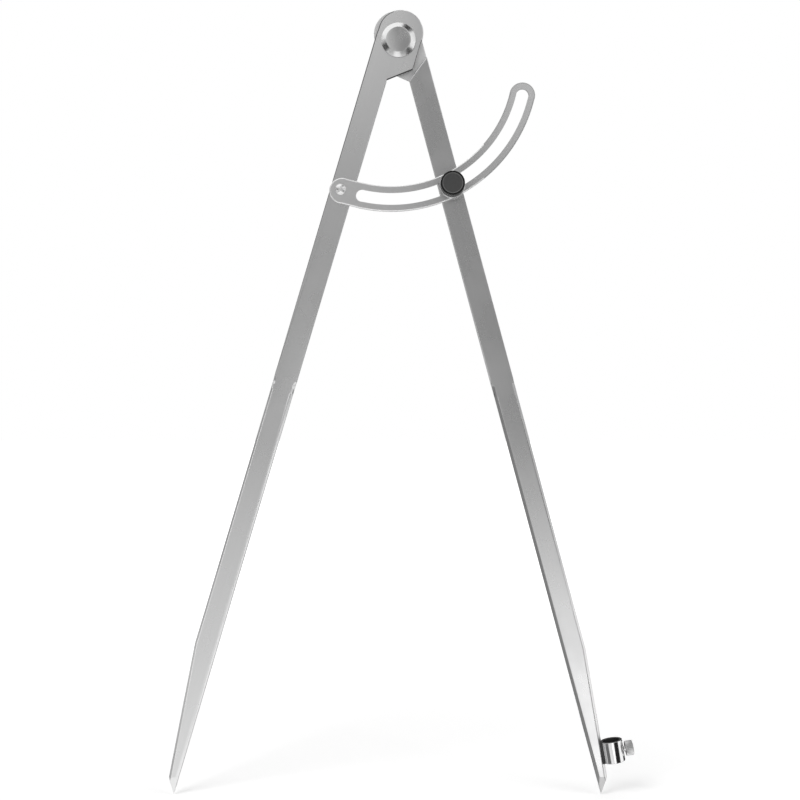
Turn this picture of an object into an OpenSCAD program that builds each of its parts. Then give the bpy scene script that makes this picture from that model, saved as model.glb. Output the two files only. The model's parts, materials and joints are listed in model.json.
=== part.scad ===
// Carpenter compass: two flat steel legs on a riveted half-lap head, a slotted
// quadrant arc locked by a knob, and a pencil ring with a thumb screw.
// Millimetres. It stands upright: X across, Z up, the front faces -Y, the origin is the pivot.

/* [Legs] */
// Distance from the pivot to the point of the left leg
leg_len = 394.2; // [330:0.1:460]
// Width of each leg above the taper
leg_w = 11.4; // [10:0.1:13]
// Thickness of each leg
leg_t = 5; // [4.5:0.1:7]
// Angle between the inner edges as drawn
opening = 31.64; // [14:0.01:60]
// Lean of the whole compass as it stands on both points
lean_angle = 0.78; // [0:0.01:2]
// Length of the tapered stretch of the left leg, measured up from the point
taper_len = 75.8; // [55:0.1:110]
// Width of the left leg where the ground point starts
point_w = 4.75; // [4:0.05:7]
// Length of the ground point along the leg
point_len = 8; // [5:0.1:11]
// Slant of the line where the ground point starts
point_skew = 19; // [0:1:25]
// Thickness left at the very tip
tip_t = 0.6; // [0.4:0.1:1.5]
// Distance from the pivot to the upper end of the edge bevels
bevel_from = 180.5; // [120:0.5:230]
// Width of the edge bevels
edge_bevel = 1.3; // [0.8:0.1:1.6]
// Radius of the cutter mark at the upper end of the bevels
runout_r = 3; // [2:0.5:6]

/* [Head] */
// Diameter of the round end
lobe_d = 22.6; // [20:0.1:26]
// How far the centre of the round end lies above the pivot
lobe_rise = 4; // [0:0.1:6]
// How much narrower the lap lobe is on its inner side
lobe_trim = 0.3; // [0:0.05:1]
// Distance from the pivot to the stop edges
stop_dist = 16; // [14.5:0.1:18]
// Slant of the stop edges
stop_angle = 38.5; // [30:0.5:42]

/* [Pivot rivet] */
// Diameter of the rivet shank
pivot_d = 8; // [6:0.5:9]
// Diameter of the front head
pivot_head_d = 17.4; // [14:0.1:20]
// Diameter of the flat on the front head
pivot_flat_d = 12.3; // [9:0.1:13]
// Height of the front head
pivot_head_h = 2.4; // [1.5:0.1:3.5]
// Height of the upright rim under the head's bevel
pivot_rim_h = 0.4; // [0.2:0.1:1]
// Diameter of the rear washer
pivot_washer_d = 15; // [13:0.1:18]
// Thickness of the rear washer
pivot_washer_t = 1; // [0.6:0.1:2]
// Diameter of the set tail behind the washer
pivot_tail_d = 12; // [10:0.1:13]
// Height of the set tail
pivot_tail_h = 1.6; // [1:0.1:2.5]

/* [Quadrant arc] */
// Radius of the slot's centre line
arc_r = 67.15; // [60:0.05:75]
// Width of the band
arc_w = 12.7; // [11:0.1:16]
// Thickness of the band
arc_t = 2; // [1.5:0.1:3]
// Width of the slot
slot_w = 6.1; // [5:0.05:7]
// How much wider in radius the round ends of the band and the slot are
end_swell = 0.05; // [0.02:0.01:0.2]
// Angle round the arc's centre from the rivet to the near end of the slot
slot_from_angle = 9.55; // [9:0.05:15]
// Angle round the arc's centre from the rivet to the far end of the slot
slot_to_angle = 98.75; // [85:0.05:110]
// Extra turn of the arc that keeps the post near the middle of the slot over the whole swing
arc_trim_angle = 0.55; // [0:0.05:1]
// Distance of the arc rivet from the pivot, along the leg
arc_rivet_along = 80.15; // [75:0.05:84]
// Distance of the arc rivet outward from the middle of the leg
arc_rivet_off = 0.5; // [0:0.1:1.5]
// Distance of the arc rivet outside the slot's centre line
arc_rivet_out = 0.3; // [0:0.05:1]
// Diameter of the riveted end of the band
tab_d = 12.8; // [11:0.1:15]
// Distance of the riveted end's centre outside the rivet
tab_out = 0.3; // [0:0.05:1]
// Distance of the riveted end's centre from the rivet towards the slot
tab_along = 0.95; // [0:0.05:2]
// Diameter of the arc rivet's shank
arc_rivet_d = 3.2; // [2.5:0.1:4]
// Diameter of the arc rivet's domed head
arc_rivet_head_d = 5.65; // [5:0.05:7]
// Height of the arc rivet's domed head
arc_rivet_head_h = 1.7; // [1:0.1:2.4]

/* [Lock] */
// Distance of the post from the pivot, along the leg
post_along = 77.4; // [73:0.1:82]
// Distance of the post outward from the middle of the leg
post_off = 1.15; // [0:0.05:1.5]
// Play of the post on each side of the slot
slot_play = 1.25; // [1:0.05:1.4]
// Diameter of the washer under the knob
lock_washer_d = 12.8; // [10:0.1:14]
// Thickness of the washer under the knob
lock_washer_t = 1; // [0.6:0.1:2]
// Diameter of the knob
knob_d = 12.1; // [11:0.1:16]
// Height of the knob
knob_h = 7; // [6:0.1:14]
// Thickness of the knob's top above its threaded insert
knob_top = 3; // [2:0.1:4]
// Wall of the knob's threaded insert
insert_wall = 1; // [0.8:0.1:1.5]
// Number of grooves round the knob
knob_grooves = 36; // [20:1:48]

/* [Pencil ring] */
// Bore of the ring
ring_id = 8.35; // [7.5:0.05:10]
// Wall of the ring
ring_wall = 1.325; // [1:0.025:2]
// Height of the ring
ring_h = 10.8; // [8:0.1:16]
// Height of the ring's seat above the point of the right leg
ring_up = 20.05; // [18:0.05:40]
// How deep the ring is let into the edge of the leg
ring_seat = 0.43; // [0.2:0.01:0.8]
// Radius of the braze that holds the ring
braze_r = 1.2; // [0.8:0.1:1.6]

/* [Thumb screw] */
// Diameter of the screw's shank
screw_d = 3; // [2.5:0.1:3.5]
// Diameter of the knurled head
screw_head_d = 7.5; // [6:0.1:9]
// Thickness of the knurled head
screw_head_t = 3.75; // [3:0.05:5]
// Length of bare neck between ring and head
screw_neck = 1; // [0.8:0.1:2]
// Number of grooves round the head
screw_grooves = 30; // [20:1:40]

/* [Fits] */
// Distance of each inner edge from the line through the pivot
leg_gap = 0.1; // [0.05:0.05:0.3]
// Gap between flat faces that slide on each other
face_gap = 0.1; // [0.05:0.05:0.2]
// Gap left at the stop edges when the compass is closed
stop_gap = 0.2; // [0.1:0.05:0.4]
// Radial clearance of turning fits
run_clear = 0.05; // [0.02:0.01:0.1]
// Radial clearance of fixed fits
seat_clear = 0.02; // [0.01:0.01:0.05]

/* [Hidden] */
$fn = 96;

steel = [0.72, 0.73, 0.74];
chrome = [0.82, 0.83, 0.85];
black = [0.10, 0.10, 0.11];
brass = [0.76, 0.62, 0.33];

// cutters reach this far past the faces that they cut, and joined outlines this far into each other
over = 1;
overlap = 0.1;

// leg edges, seen in the leg's own frame with the pivot at the origin
edge_in = leg_gap;
edge_out = leg_gap + leg_w;
leg_mid = leg_gap + leg_w / 2;
taper_from = leg_len - taper_len;
taper_angle = atan((leg_w - point_w) / (taper_len - point_len));
lobe_r = lobe_d / 2;
lobe_in = leg_w - lobe_trim;
bevel_depth = edge_bevel / sqrt(2);
// the taper's bevels are cut this much deeper and so meet the straight ones in clean edges
bevel_step = 0.02;

// turn of each leg from upright, and the right leg's length that brings both points to one level
left_angle = -opening / 2 - lean_angle;
right_angle = opening / 2 - lean_angle;
ring_leg_len = leg_len * cos(left_angle) / cos(right_angle);

function width_at(along) = leg_w - (along - taper_from) * tan(taper_angle);
function stop_y(x) = -(stop_dist + x * sin(stop_angle)) / cos(stop_angle);
function turned(p, a) = [p.x * cos(a) - p.y * sin(a), p.x * sin(a) + p.y * cos(a)];

function leg_outline(reach) = [
    [edge_in, -reach],
    [edge_in + width_at(reach - point_len), point_len - reach],
    [edge_out, -taper_from],
    [edge_out, 0],
    [lobe_r - overlap, lobe_rise],
    [-lobe_in, lobe_rise],
    [-lobe_in, stop_y(-lobe_in)],
    [edge_in, stop_y(edge_in)]
];

// the arc's centre lies so that the post is in the slot, seen from the front
arc_rivet_at = turned([-leg_mid - arc_rivet_off, -arc_rivet_along], left_angle);
post_at = turned([leg_mid + post_off, -post_along], right_angle);
arc_rivet_r = arc_r + arc_rivet_out;
rivet_to_post = post_at - arc_rivet_at;
rivet_span = norm(rivet_to_post);
arc_dir = atan2(rivet_to_post.y, rivet_to_post.x) + arc_trim_angle
    + acos((pow(rivet_span, 2) + pow(arc_rivet_r, 2) - pow(arc_r, 2)) / 2 / rivet_span / arc_rivet_r);

// levels towards the front, from the middle of the legs
leg_face = leg_t / 2;
arc_back = leg_face + face_gap;
arc_face = arc_back + arc_t;
lock_washer_back = arc_face + face_gap;
knob_back = lock_washer_back + lock_washer_t + face_gap;

post_d = slot_w - 2 * slot_play;
stud_head_d = post_d + leg_t / 2;
insert_len = knob_h - knob_top;
insert_id = post_d + 2 * run_clear;
insert_od = insert_id + 2 * insert_wall;
stud_short = insert_wall;
knob_bevel = knob_d / 14;
knob_groove = knob_d / 36;

ring_od = ring_id + 2 * ring_wall;
ring_out = ring_od / 2 - ring_seat;
ring_along = ring_leg_len - ring_up;
ring_edge = [edge_in + width_at(ring_along), -ring_along];
edge_flat = leg_face - edge_bevel;
braze_a = ring_out - edge_flat;
braze_z = (sqrt(2 * pow(ring_od / 2, 2) - pow(braze_a, 2)) - braze_a) / 2;
screw_tip = ring_id / 2 + face_gap;
screw_head_back = ring_od / 2 + screw_neck;
screw_cap = screw_head_t / 3;
screw_groove = screw_head_d / 24;
screw_bevel = screw_head_d / 10;

module upright() {
    rotate([90, 0, 0]) children();
}

// frame of one leg, turned from upright
module leg_frame(angle) {
    rotate([0, 0, angle]) children();
}

module both_faces() {
    children();
    mirror([0, 0, 1]) children();
}

// cuts the corner above and right of a line that runs down from the origin
module bevel_cut(length) {
    rotate([0, 45, 0])
        translate([-2 * edge_bevel, -length, -bevel_depth])
            cube([4 * edge_bevel, length, 2 * edge_bevel]);
}

// rounded upper end of a bevel
module bevel_runout() {
    rotate([0, 45, 0])
        translate([-2 * edge_bevel, 0, runout_r - bevel_depth])
            rotate([0, 90, 0])
                cylinder(r = runout_r, h = 4 * edge_bevel);
}

module outer_bevel() {
    translate([edge_out, -bevel_from, leg_face]) {
        bevel_runout();
        bevel_cut(taper_from - bevel_from + edge_bevel);
    }
    translate([edge_out, -taper_from, leg_face])
        rotate([0, 0, -taper_angle])
            translate([-bevel_step, edge_bevel, 0])
                bevel_cut(taper_len + edge_bevel);
}

module inner_bevel() {
    translate([edge_in, -bevel_from, leg_face])
        mirror([1, 0, 0]) {
            bevel_runout();
            bevel_cut(leg_len - bevel_from + over);
        }
}

module point_facet(reach) {
    facet_w = width_at(reach - point_len);
    facet_run = point_len * cos(point_skew) + facet_w * sin(point_skew);
    facet_angle = atan((leg_t - tip_t) / 2 / facet_run);
    translate([edge_in + facet_w, point_len - reach, leg_face])
        rotate([0, 0, -point_skew])
            rotate([facet_angle, 0, 0])
                translate([-leg_w, -2 * facet_run, 0])
                    cube([2 * leg_w, 2 * facet_run, leg_t]);
}

// clears the front half of the head for the other leg's lobe
module lap_pocket() {
    rotate([0, 0, stop_angle])
        translate([-2 * lobe_r, -stop_dist - stop_gap, -face_gap / 2])
            cube([4 * lobe_r, 4 * lobe_r, leg_t]);
}

// one leg that reaches down to its point, lobe at the back, inner edge on the left
module leg_blank(reach, bore_clear) {
    difference() {
        union() {
            translate([0, 0, -leg_face]) linear_extrude(leg_t) polygon(leg_outline(reach));
            translate([0, lobe_rise, -leg_face]) cylinder(r = lobe_r, h = leg_t);
        }
        lap_pocket();
        cylinder(d = pivot_d + 2 * bore_clear, h = leg_t + 2 * over, center = true);
        both_faces() {
            outer_bevel();
            inner_bevel();
            point_facet(reach);
        }
    }
}

// hole from the back face with a countersink there, or the rivet or screw that fills it
module countersunk(d, head_d, top) {
    translate([0, 0, -leg_face]) {
        cylinder(d = d, h = leg_face + top);
        cylinder(d1 = head_d, d2 = d, h = (head_d - d) / 2);
    }
}

module left_leg() {
    color(steel) upright() leg_frame(left_angle) difference() {
        rotate([0, 180, 0]) leg_blank(leg_len, seat_clear);
        translate([-leg_mid - arc_rivet_off, -arc_rivet_along, 0])
            countersunk(
                arc_rivet_d + 2 * seat_clear, arc_rivet_head_d + 2 * seat_clear, leg_face + over
            );
    }
}

module right_leg() {
    color(steel) upright() difference() {
        leg_frame(right_angle) difference() {
            leg_blank(ring_leg_len, run_clear);
            translate([leg_mid + post_off, -post_along, 0])
                countersunk(post_d + 2 * seat_clear, stud_head_d + 2 * seat_clear, leg_face + over);
        }
        ring_frame() ring_body(ring_od + 2 * seat_clear, ring_h + 2 * face_gap);
    }
}

module pivot_rivet() {
    tail = -leg_face - face_gap - pivot_washer_t;
    color(chrome) upright() rotate_extrude() polygon([
        [0, leg_face + pivot_head_h],
        [pivot_flat_d / 2, leg_face + pivot_head_h],
        [pivot_head_d / 2, leg_face + pivot_rim_h],
        [pivot_head_d / 2, leg_face],
        [pivot_d / 2, leg_face],
        [pivot_d / 2, tail],
        [pivot_tail_d / 2, tail],
        [pivot_tail_d / 2, tail - pivot_tail_h / 4],
        [pivot_tail_d / 2 - pivot_tail_h, tail - pivot_tail_h],
        [0, tail - pivot_tail_h]
    ]);
}

module pivot_washer() {
    color(steel) upright()
        translate([0, 0, -leg_face - face_gap - pivot_washer_t])
            tube(pivot_washer_d, pivot_d + 2 * seat_clear, pivot_washer_t);
}

module tube(od, id, h) {
    difference() {
        cylinder(d = od, h = h);
        translate([0, 0, -over]) cylinder(d = id, h = h + 2 * over);
    }
}

// band of the arc round its centre, with round ends, from one angle to another, above and below the plate
module arc_band(width, from, to) {
    rotate([0, 0, from])
        rotate_extrude(angle = to - from)
            translate([arc_r - width / 2, -over]) square([width, arc_t + 2 * over]);
    for (a = [from, to])
        rotate([0, 0, a])
            translate([arc_r, 0, -2 * over])
                cylinder(d = width + 2 * end_swell, h = arc_t + 4 * over);
}

// riveted end of the band, straight from the near end of the slot
module arc_tab() {
    tab_mid = [arc_rivet_r + tab_out, tab_along];
    tab_side = [tab_d / 2 - end_swell, 0];
    slot_end = [cos(slot_from_angle), sin(slot_from_angle)];
    translate([tab_mid.x, tab_mid.y, -3 * over]) cylinder(d = tab_d, h = arc_t + 6 * over);
    translate([0, 0, -4 * over]) linear_extrude(arc_t + 8 * over) polygon([
        tab_mid - tab_side,
        tab_mid + tab_side,
        (arc_r + arc_w / 2 - end_swell) * slot_end,
        (arc_r - arc_w / 2 + end_swell) * slot_end
    ]);
}

module quadrant_arc() {
    color(steel) upright()
        translate([arc_rivet_at.x, arc_rivet_at.y, arc_back])
            rotate([0, 0, arc_dir + 180])
                translate([-arc_rivet_r, 0, 0])
                    difference() {
                        intersection() {
                            union() {
                                arc_band(arc_w, slot_from_angle, slot_to_angle);
                                arc_tab();
                            }
                            translate([-2 * arc_r, -2 * arc_r, 0]) cube([4 * arc_r, 4 * arc_r, arc_t]);
                        }
                        arc_band(slot_w, slot_from_angle, slot_to_angle);
                        translate([arc_rivet_r, 0, -over])
                            cylinder(d = arc_rivet_d + 2 * run_clear, h = arc_t + 2 * over);
                    }
}

module dome(d, h) {
    r = (d * d / 4 + h * h) / 2 / h;
    intersection() {
        translate([0, 0, h - r]) sphere(r = r);
        cylinder(d = d + over, h = h + over);
    }
}

module arc_rivet() {
    color(chrome) upright() translate([arc_rivet_at.x, arc_rivet_at.y, 0]) {
        countersunk(arc_rivet_d, arc_rivet_head_d, arc_face + face_gap);
        translate([0, 0, arc_face + face_gap]) dome(arc_rivet_head_d, arc_rivet_head_h);
    }
}

module lock_stud() {
    color(chrome) upright() translate([post_at.x, post_at.y, 0])
        countersunk(post_d, stud_head_d, knob_back + insert_len - stud_short);
}

module lock_washer() {
    color(chrome) upright() translate([post_at.x, post_at.y, lock_washer_back])
        tube(lock_washer_d, insert_id, lock_washer_t);
}

// grooved round grip with bevelled rims
module grip(d, h, bevel, groove, count) {
    step = 180 / count;
    intersection() {
        linear_extrude(h) polygon([
            for (i = [0 : 2 * count - 1])
                (d / 2 - (i % 2) * groove) * [cos(i * step), sin(i * step)]
        ]);
        rotate_extrude() polygon([
            [0, 0],
            [d / 2 - bevel / 2, 0],
            [d / 2 + bevel / 2, bevel],
            [d / 2 + bevel / 2, h - bevel * 3 / 2],
            [d / 2 - bevel, h],
            [0, h]
        ]);
    }
}

module lock_knob() {
    color(black) upright() translate([post_at.x, post_at.y, knob_back]) difference() {
        grip(knob_d, knob_h, knob_bevel, knob_groove, knob_grooves);
        translate([0, 0, -over]) cylinder(d = insert_od + 2 * seat_clear, h = insert_len + over);
    }
}

module knob_insert() {
    color(brass) upright() translate([post_at.x, post_at.y, knob_back])
        tube(insert_od, insert_id, insert_len);
}

// frame on the tapered edge where the ring sits: x points out of the edge, y up along it
module ring_frame() {
    leg_frame(right_angle)
        translate([ring_edge.x, ring_edge.y, 0])
            rotate([0, 0, -taper_angle])
                children();
}

module ring_body(d, h) {
    translate([ring_out, 0, 0]) rotate([90, 0, 0]) cylinder(d = d, h = h, center = true);
}

// the thumb screw's own axis, from the middle of the ring outward
module screw_axis() {
    translate([ring_out, 0, 0]) rotate([0, 90, 0]) children();
}

module pencil_ring() {
    color(chrome) upright() ring_frame() difference() {
        ring_body(ring_od, ring_h);
        ring_body(ring_id, ring_h + 2 * over);
        screw_axis() cylinder(d = screw_d + 2 * run_clear, h = ring_od);
    }
}

// two fillets of braze between the ring and the bevelled edge
module ring_braze() {
    color(brass) upright() ring_frame() rotate([90, 0, 0])
        linear_extrude(ring_h, center = true) difference() {
            for (side = [-1, 1])
                translate([edge_flat - braze_z, side * braze_z]) circle(r = braze_r);
            translate([ring_out, 0]) circle(d = ring_od + 2 * seat_clear);
            polygon([
                [-leg_w, -leg_face],
                [seat_clear - edge_bevel, -leg_face],
                [seat_clear, -edge_flat],
                [seat_clear, edge_flat],
                [seat_clear - edge_bevel, leg_face],
                [-leg_w, leg_face]
            ]);
        }
}

module screw_shank() {
    color(chrome) upright() ring_frame() screw_axis()
        translate([0, 0, screw_tip])
            cylinder(d = screw_d, h = screw_head_back + screw_head_t - screw_cap - screw_tip);
}

module screw_head() {
    color(chrome) upright() ring_frame() screw_axis()
        translate([0, 0, screw_head_back]) difference() {
            grip(screw_head_d, screw_head_t, screw_bevel, screw_groove, screw_grooves);
            translate([0, 0, -over])
                cylinder(d = screw_d + 2 * run_clear, h = screw_head_t - screw_cap + face_gap + over);
        }
}

left_leg();
right_leg();
pivot_rivet();
pivot_washer();
quadrant_arc();
arc_rivet();
lock_stud();
lock_washer();
lock_knob();
knob_insert();
pencil_ring();
ring_braze();
screw_shank();
screw_head();
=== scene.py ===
import json
import math

import bpy
from mathutils import Matrix, Vector


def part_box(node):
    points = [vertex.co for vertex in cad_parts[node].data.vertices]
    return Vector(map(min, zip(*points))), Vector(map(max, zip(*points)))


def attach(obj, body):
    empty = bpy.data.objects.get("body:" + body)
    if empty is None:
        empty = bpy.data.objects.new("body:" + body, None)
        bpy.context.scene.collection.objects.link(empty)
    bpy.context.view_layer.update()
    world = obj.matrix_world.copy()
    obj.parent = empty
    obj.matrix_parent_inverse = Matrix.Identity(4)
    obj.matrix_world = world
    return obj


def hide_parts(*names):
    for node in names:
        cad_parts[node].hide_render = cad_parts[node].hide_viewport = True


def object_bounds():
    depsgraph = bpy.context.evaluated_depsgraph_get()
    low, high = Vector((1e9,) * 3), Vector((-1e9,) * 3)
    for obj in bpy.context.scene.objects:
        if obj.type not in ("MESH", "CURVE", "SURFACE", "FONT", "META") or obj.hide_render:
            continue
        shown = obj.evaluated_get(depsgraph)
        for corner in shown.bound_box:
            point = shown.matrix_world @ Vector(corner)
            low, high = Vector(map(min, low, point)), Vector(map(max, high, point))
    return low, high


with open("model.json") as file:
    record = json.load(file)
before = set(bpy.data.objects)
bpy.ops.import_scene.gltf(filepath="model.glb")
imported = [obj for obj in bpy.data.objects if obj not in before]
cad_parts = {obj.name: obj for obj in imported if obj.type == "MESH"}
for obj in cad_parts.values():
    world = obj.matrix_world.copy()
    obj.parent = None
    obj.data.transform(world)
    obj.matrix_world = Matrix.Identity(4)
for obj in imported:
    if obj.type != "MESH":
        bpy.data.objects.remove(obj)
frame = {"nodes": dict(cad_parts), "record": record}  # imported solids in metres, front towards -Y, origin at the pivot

cadLow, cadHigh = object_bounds()
mm = 0.001
touch = 0.01  # mm within which two places count as one
sharpAngle = 35  # degrees between two faces from which their edge counts as sharp
scene = bpy.context.scene
across = Vector((1, 0, 0))
front = Vector((0, -1, 0))
print("frame loaded:", len(frame["nodes"]), "nodes")


# small modelling helpers: select in code, shape with operators

def deselectAll():
    if bpy.context.object and bpy.context.object.mode != "OBJECT":
        bpy.ops.object.mode_set(mode="OBJECT")
    bpy.ops.object.select_all(action="DESELECT")


def workOn(piece):
    deselectAll()
    piece.select_set(True)
    bpy.context.view_layer.objects.active = piece


def editAll(piece):
    workOn(piece)
    bpy.ops.object.mode_set(mode="EDIT")
    bpy.ops.mesh.select_mode(type="VERT")
    bpy.ops.mesh.select_all(action="SELECT")


def selectNone(piece, kind):
    workOn(piece)
    bpy.ops.object.mode_set(mode="EDIT")
    bpy.ops.mesh.select_mode(type=kind)
    bpy.ops.mesh.select_all(action="DESELECT")
    bpy.ops.object.mode_set(mode="OBJECT")


def selectFaces(piece, test):
    selectNone(piece, "FACE")
    for face in piece.data.polygons:
        face.select = test(face)
    bpy.ops.object.mode_set(mode="EDIT")


def selectEdges(piece, test):
    selectNone(piece, "EDGE")
    points = piece.data.vertices
    for edge in piece.data.edges:
        edge.select = test(points[edge.vertices[0]].co, points[edge.vertices[1]].co)
    bpy.ops.object.mode_set(mode="EDIT")


def applyModifier(piece, kind, **values):
    workOn(piece)
    modifier = piece.modifiers.new(kind.lower(), kind)
    for key, value in values.items():
        setattr(modifier, key, value)
    bpy.ops.object.modifier_apply(modifier=modifier.name)


def easeEdges(piece, width, segments, sharper):
    applyModifier(
        piece, "BEVEL", width=width * mm, segments=segments, limit_method="ANGLE",
        angle_limit=math.radians(sharper), miter_outer="MITER_SHARP", harden_normals=False,
    )


def weighEdges(piece, weight, test=None):
    # adds to the width in mm by which edges are rounded: those that pass the test, or all the sharp ones
    if test:
        selectEdges(piece, test)
    else:
        editAll(piece)
        bpy.ops.mesh.select_mode(type="EDGE")
        bpy.ops.mesh.select_all(action="DESELECT")
        bpy.ops.mesh.edges_select_sharp(sharpness=math.radians(sharpAngle))
    bpy.ops.transform.edge_bevelweight(value=weight)
    bpy.ops.object.mode_set(mode="OBJECT")


def roundByWeight(piece, segments):
    applyModifier(
        piece, "BEVEL", width=mm, segments=segments, limit_method="WEIGHT", use_clamp_overlap=False,
        miter_outer="MITER_SHARP", harden_normals=False,
    )


def smoothByAngle(piece, angle=32):
    workOn(piece)
    bpy.ops.object.shade_smooth_by_angle(angle=math.radians(angle))


def keepFlatsFlat(piece):
    # the wide faces hold their own normals, and the narrow bevels turn between them
    smoothByAngle(piece, sharpAngle)
    applyModifier(piece, "WEIGHTED_NORMAL", mode="FACE_AREA", weight=100, keep_sharp=True)


def dress(piece, material, body, node):
    piece.data.materials.clear()
    piece.data.materials.append(material)
    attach(piece, body)
    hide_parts(node)


def finishFaces(piece, material, test):
    # gives the faces that pass the test a finish of their own
    piece.data.materials.append(material)
    for face in piece.data.polygons:
        if test(face):
            face.material_index = len(piece.data.materials) - 1


def nodeCopy(node, name, merge=0.002):
    # the CAD mesh is loose triangles, so the copy is merged and its flat faces joined
    piece = bpy.data.objects.new(name, frame["nodes"][node].data.copy())
    scene.collection.objects.link(piece)
    editAll(piece)
    bpy.ops.mesh.customdata_custom_splitnormals_clear()
    bpy.ops.mesh.remove_doubles(threshold=merge * mm)
    bpy.ops.mesh.dissolve_limited(angle_limit=math.radians(0.5))
    bpy.ops.object.mode_set(mode="OBJECT")
    return piece


# turned pieces: an outline of (radius, height) corners in mm is spun round an axis

easeSteps = 4
easeShare = 0.45  # part of a side that the rounding of one corner may take


def easedOutline(corners, ease, closed):
    points = []
    for i, corner in enumerate(corners):
        here = Vector(corner)
        if not closed and i in (0, len(corners) - 1):
            points.append(here)
            continue
        toLast = Vector(corners[i - 1]) - here
        toNext = Vector(corners[(i + 1) % len(corners)]) - here
        reach = min(ease, toLast.length * easeShare, toNext.length * easeShare)
        start = here + toLast.normalized() * reach
        end = here + toNext.normalized() * reach
        for step in range(easeSteps + 1):
            t = step / easeSteps
            points.append(start.lerp(here, t).lerp(here.lerp(end, t), t))
    return points


def turnedPiece(name, corners, place, ease, closed=False, steps=96):
    centre, axis, side = place
    path = [centre + (side * p.x + axis * p.y) * mm for p in easedOutline(corners, ease, closed)]
    if closed:
        path.append(path[0])
    deselectAll()
    bpy.ops.mesh.primitive_plane_add(size=mm, location=(0, 0, 0))
    piece = bpy.context.object
    piece.name = piece.data.name = name
    editAll(piece)
    bpy.ops.mesh.merge(type="CENTER")
    bpy.ops.transform.translate(value=path[0])
    for last, here in zip(path, path[1:]):
        bpy.ops.mesh.extrude_vertices_move(TRANSFORM_OT_translate={"value": here - last})
    bpy.ops.mesh.select_all(action="SELECT")
    bpy.ops.mesh.spin(steps=steps, angle=2 * math.pi, center=centre, axis=axis)
    bpy.ops.mesh.select_all(action="SELECT")
    bpy.ops.mesh.remove_doubles(threshold=0.0005 * mm)
    bpy.ops.mesh.normals_make_consistent(inside=False)
    bpy.ops.object.mode_set(mode="OBJECT")
    smoothByAngle(piece)
    return piece


def facingFront(node):
    # centre of a round node on the legs' middle plane, with its axis towards the front
    low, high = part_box(node)
    return Vector(((low.x + high.x) / 2, 0, (low.z + high.z) / 2)), front, across


def cutThread(piece, place, thread):
    # a helical groove pressed into the plain part of a turned shank
    centre, axis, side = place
    third = axis.cross(side)
    start, end, pitch = thread["from"], thread["to"], thread["pitch"]
    selectEdges(piece, lambda a, b: abs((a - b).normalized().dot(axis)) > 0.99
                and (a - b).length > pitch * mm)
    bpy.ops.mesh.subdivide(number_cuts=thread["rings"])
    bpy.ops.object.mode_set(mode="OBJECT")
    for vertex in piece.data.vertices:
        arm = vertex.co - centre
        height = arm.dot(axis) / mm
        spoke = arm - axis * arm.dot(axis)
        if not start < height < end or spoke.length < thread["core"] * mm:
            continue
        turn = math.atan2(spoke.dot(third), spoke.dot(side)) / (2 * math.pi)
        groove = 1 - abs(2 * ((height / pitch - turn) % 1) - 1)
        fade = min(1, (height - start) / pitch, (end - height) / pitch)
        vertex.co -= spoke.normalized() * thread["depth"] * groove * fade * mm


# grooved grips: the knob and the head of the thumb screw

def groovedGrip(name, grip):
    # modelled upright at the origin, with its foot at height 0
    radius, height, count = grip["diameter"] / 2 * mm, grip["height"] * mm, grip["grooves"]
    deselectAll()
    bpy.ops.mesh.primitive_cylinder_add(
        vertices=2 * count, radius=radius, depth=height, location=(0, 0, height / 2))
    piece = bpy.context.object
    piece.name = piece.data.name = name
    bpy.ops.object.transform_apply(location=True, rotation=True, scale=True)
    near = height * 0.01
    selectEdges(piece, lambda a, b: min(a.z, b.z) > height - near)
    bpy.ops.mesh.bevel(offset=grip["rim"] * mm, segments=4, affect="EDGES")
    selectEdges(piece, lambda a, b: max(a.z, b.z) < near)
    bpy.ops.mesh.bevel(offset=grip["foot"] * mm, segments=2, affect="EDGES")
    # every second side face becomes a groove
    step = math.pi / count
    selectFaces(piece, lambda f: abs(f.normal.z) < 0.1
                and int(math.atan2(f.center.y, f.center.x) // step) % 2 == 0)
    bpy.ops.mesh.inset(
        thickness=grip["land"] * mm, depth=-grip["groove"] * mm, use_individual=True)
    # the bore under the grip
    selectFaces(piece, lambda f: f.normal.z < -0.9 and f.center.z < near and len(f.vertices) > 8)
    bpy.ops.mesh.inset(thickness=radius - (grip["foot"] + grip["bore"] / 2) * mm)
    bpy.ops.mesh.extrude_region_move(
        TRANSFORM_OT_translate={"value": (0, 0, grip["boreDepth"] * mm)})
    bpy.ops.object.mode_set(mode="OBJECT")
    return piece


def shapeTop(piece, rings):
    # insets the top face ring by ring: (how far in, how far up or down) in mm
    top = max(v.co.z for v in piece.data.vertices)
    selectFaces(piece, lambda f: f.normal.z > 0.9 and f.center.z > top - touch * mm
                and len(f.vertices) > 8)
    for inward, rise in rings:
        bpy.ops.mesh.inset(thickness=inward * mm, depth=rise * mm)
    bpy.ops.object.mode_set(mode="OBJECT")


def setInPlace(piece, place, lift):
    # stands the grip on its axis, lift mm from the centre
    centre, axis, side = place
    turn = Matrix((side, axis.cross(side), axis)).transposed().to_4x4()
    piece.matrix_world = Matrix.Translation(centre + axis * lift * mm) @ turn
    workOn(piece)
    bpy.ops.object.transform_apply(location=True, rotation=True, scale=True)


# shader groups shared by the finishes

def newGroup(name, inputs, outputs):
    group = bpy.data.node_groups.new(name, "ShaderNodeTree")
    for label, kind, value in inputs:
        socket = group.interface.new_socket(label, in_out="INPUT", socket_type=kind)
        if value is not None:
            socket.default_value = value
    for label, kind in outputs:
        group.interface.new_socket(label, in_out="OUTPUT", socket_type=kind)
    return group, group.nodes.new("NodeGroupInput"), group.nodes.new("NodeGroupOutput")


def feed(tree, socket, value):
    # a socket takes a link from another node or a plain value
    if hasattr(value, "is_output"):
        tree.links.new(value, socket)
    else:
        socket.default_value = value


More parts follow.
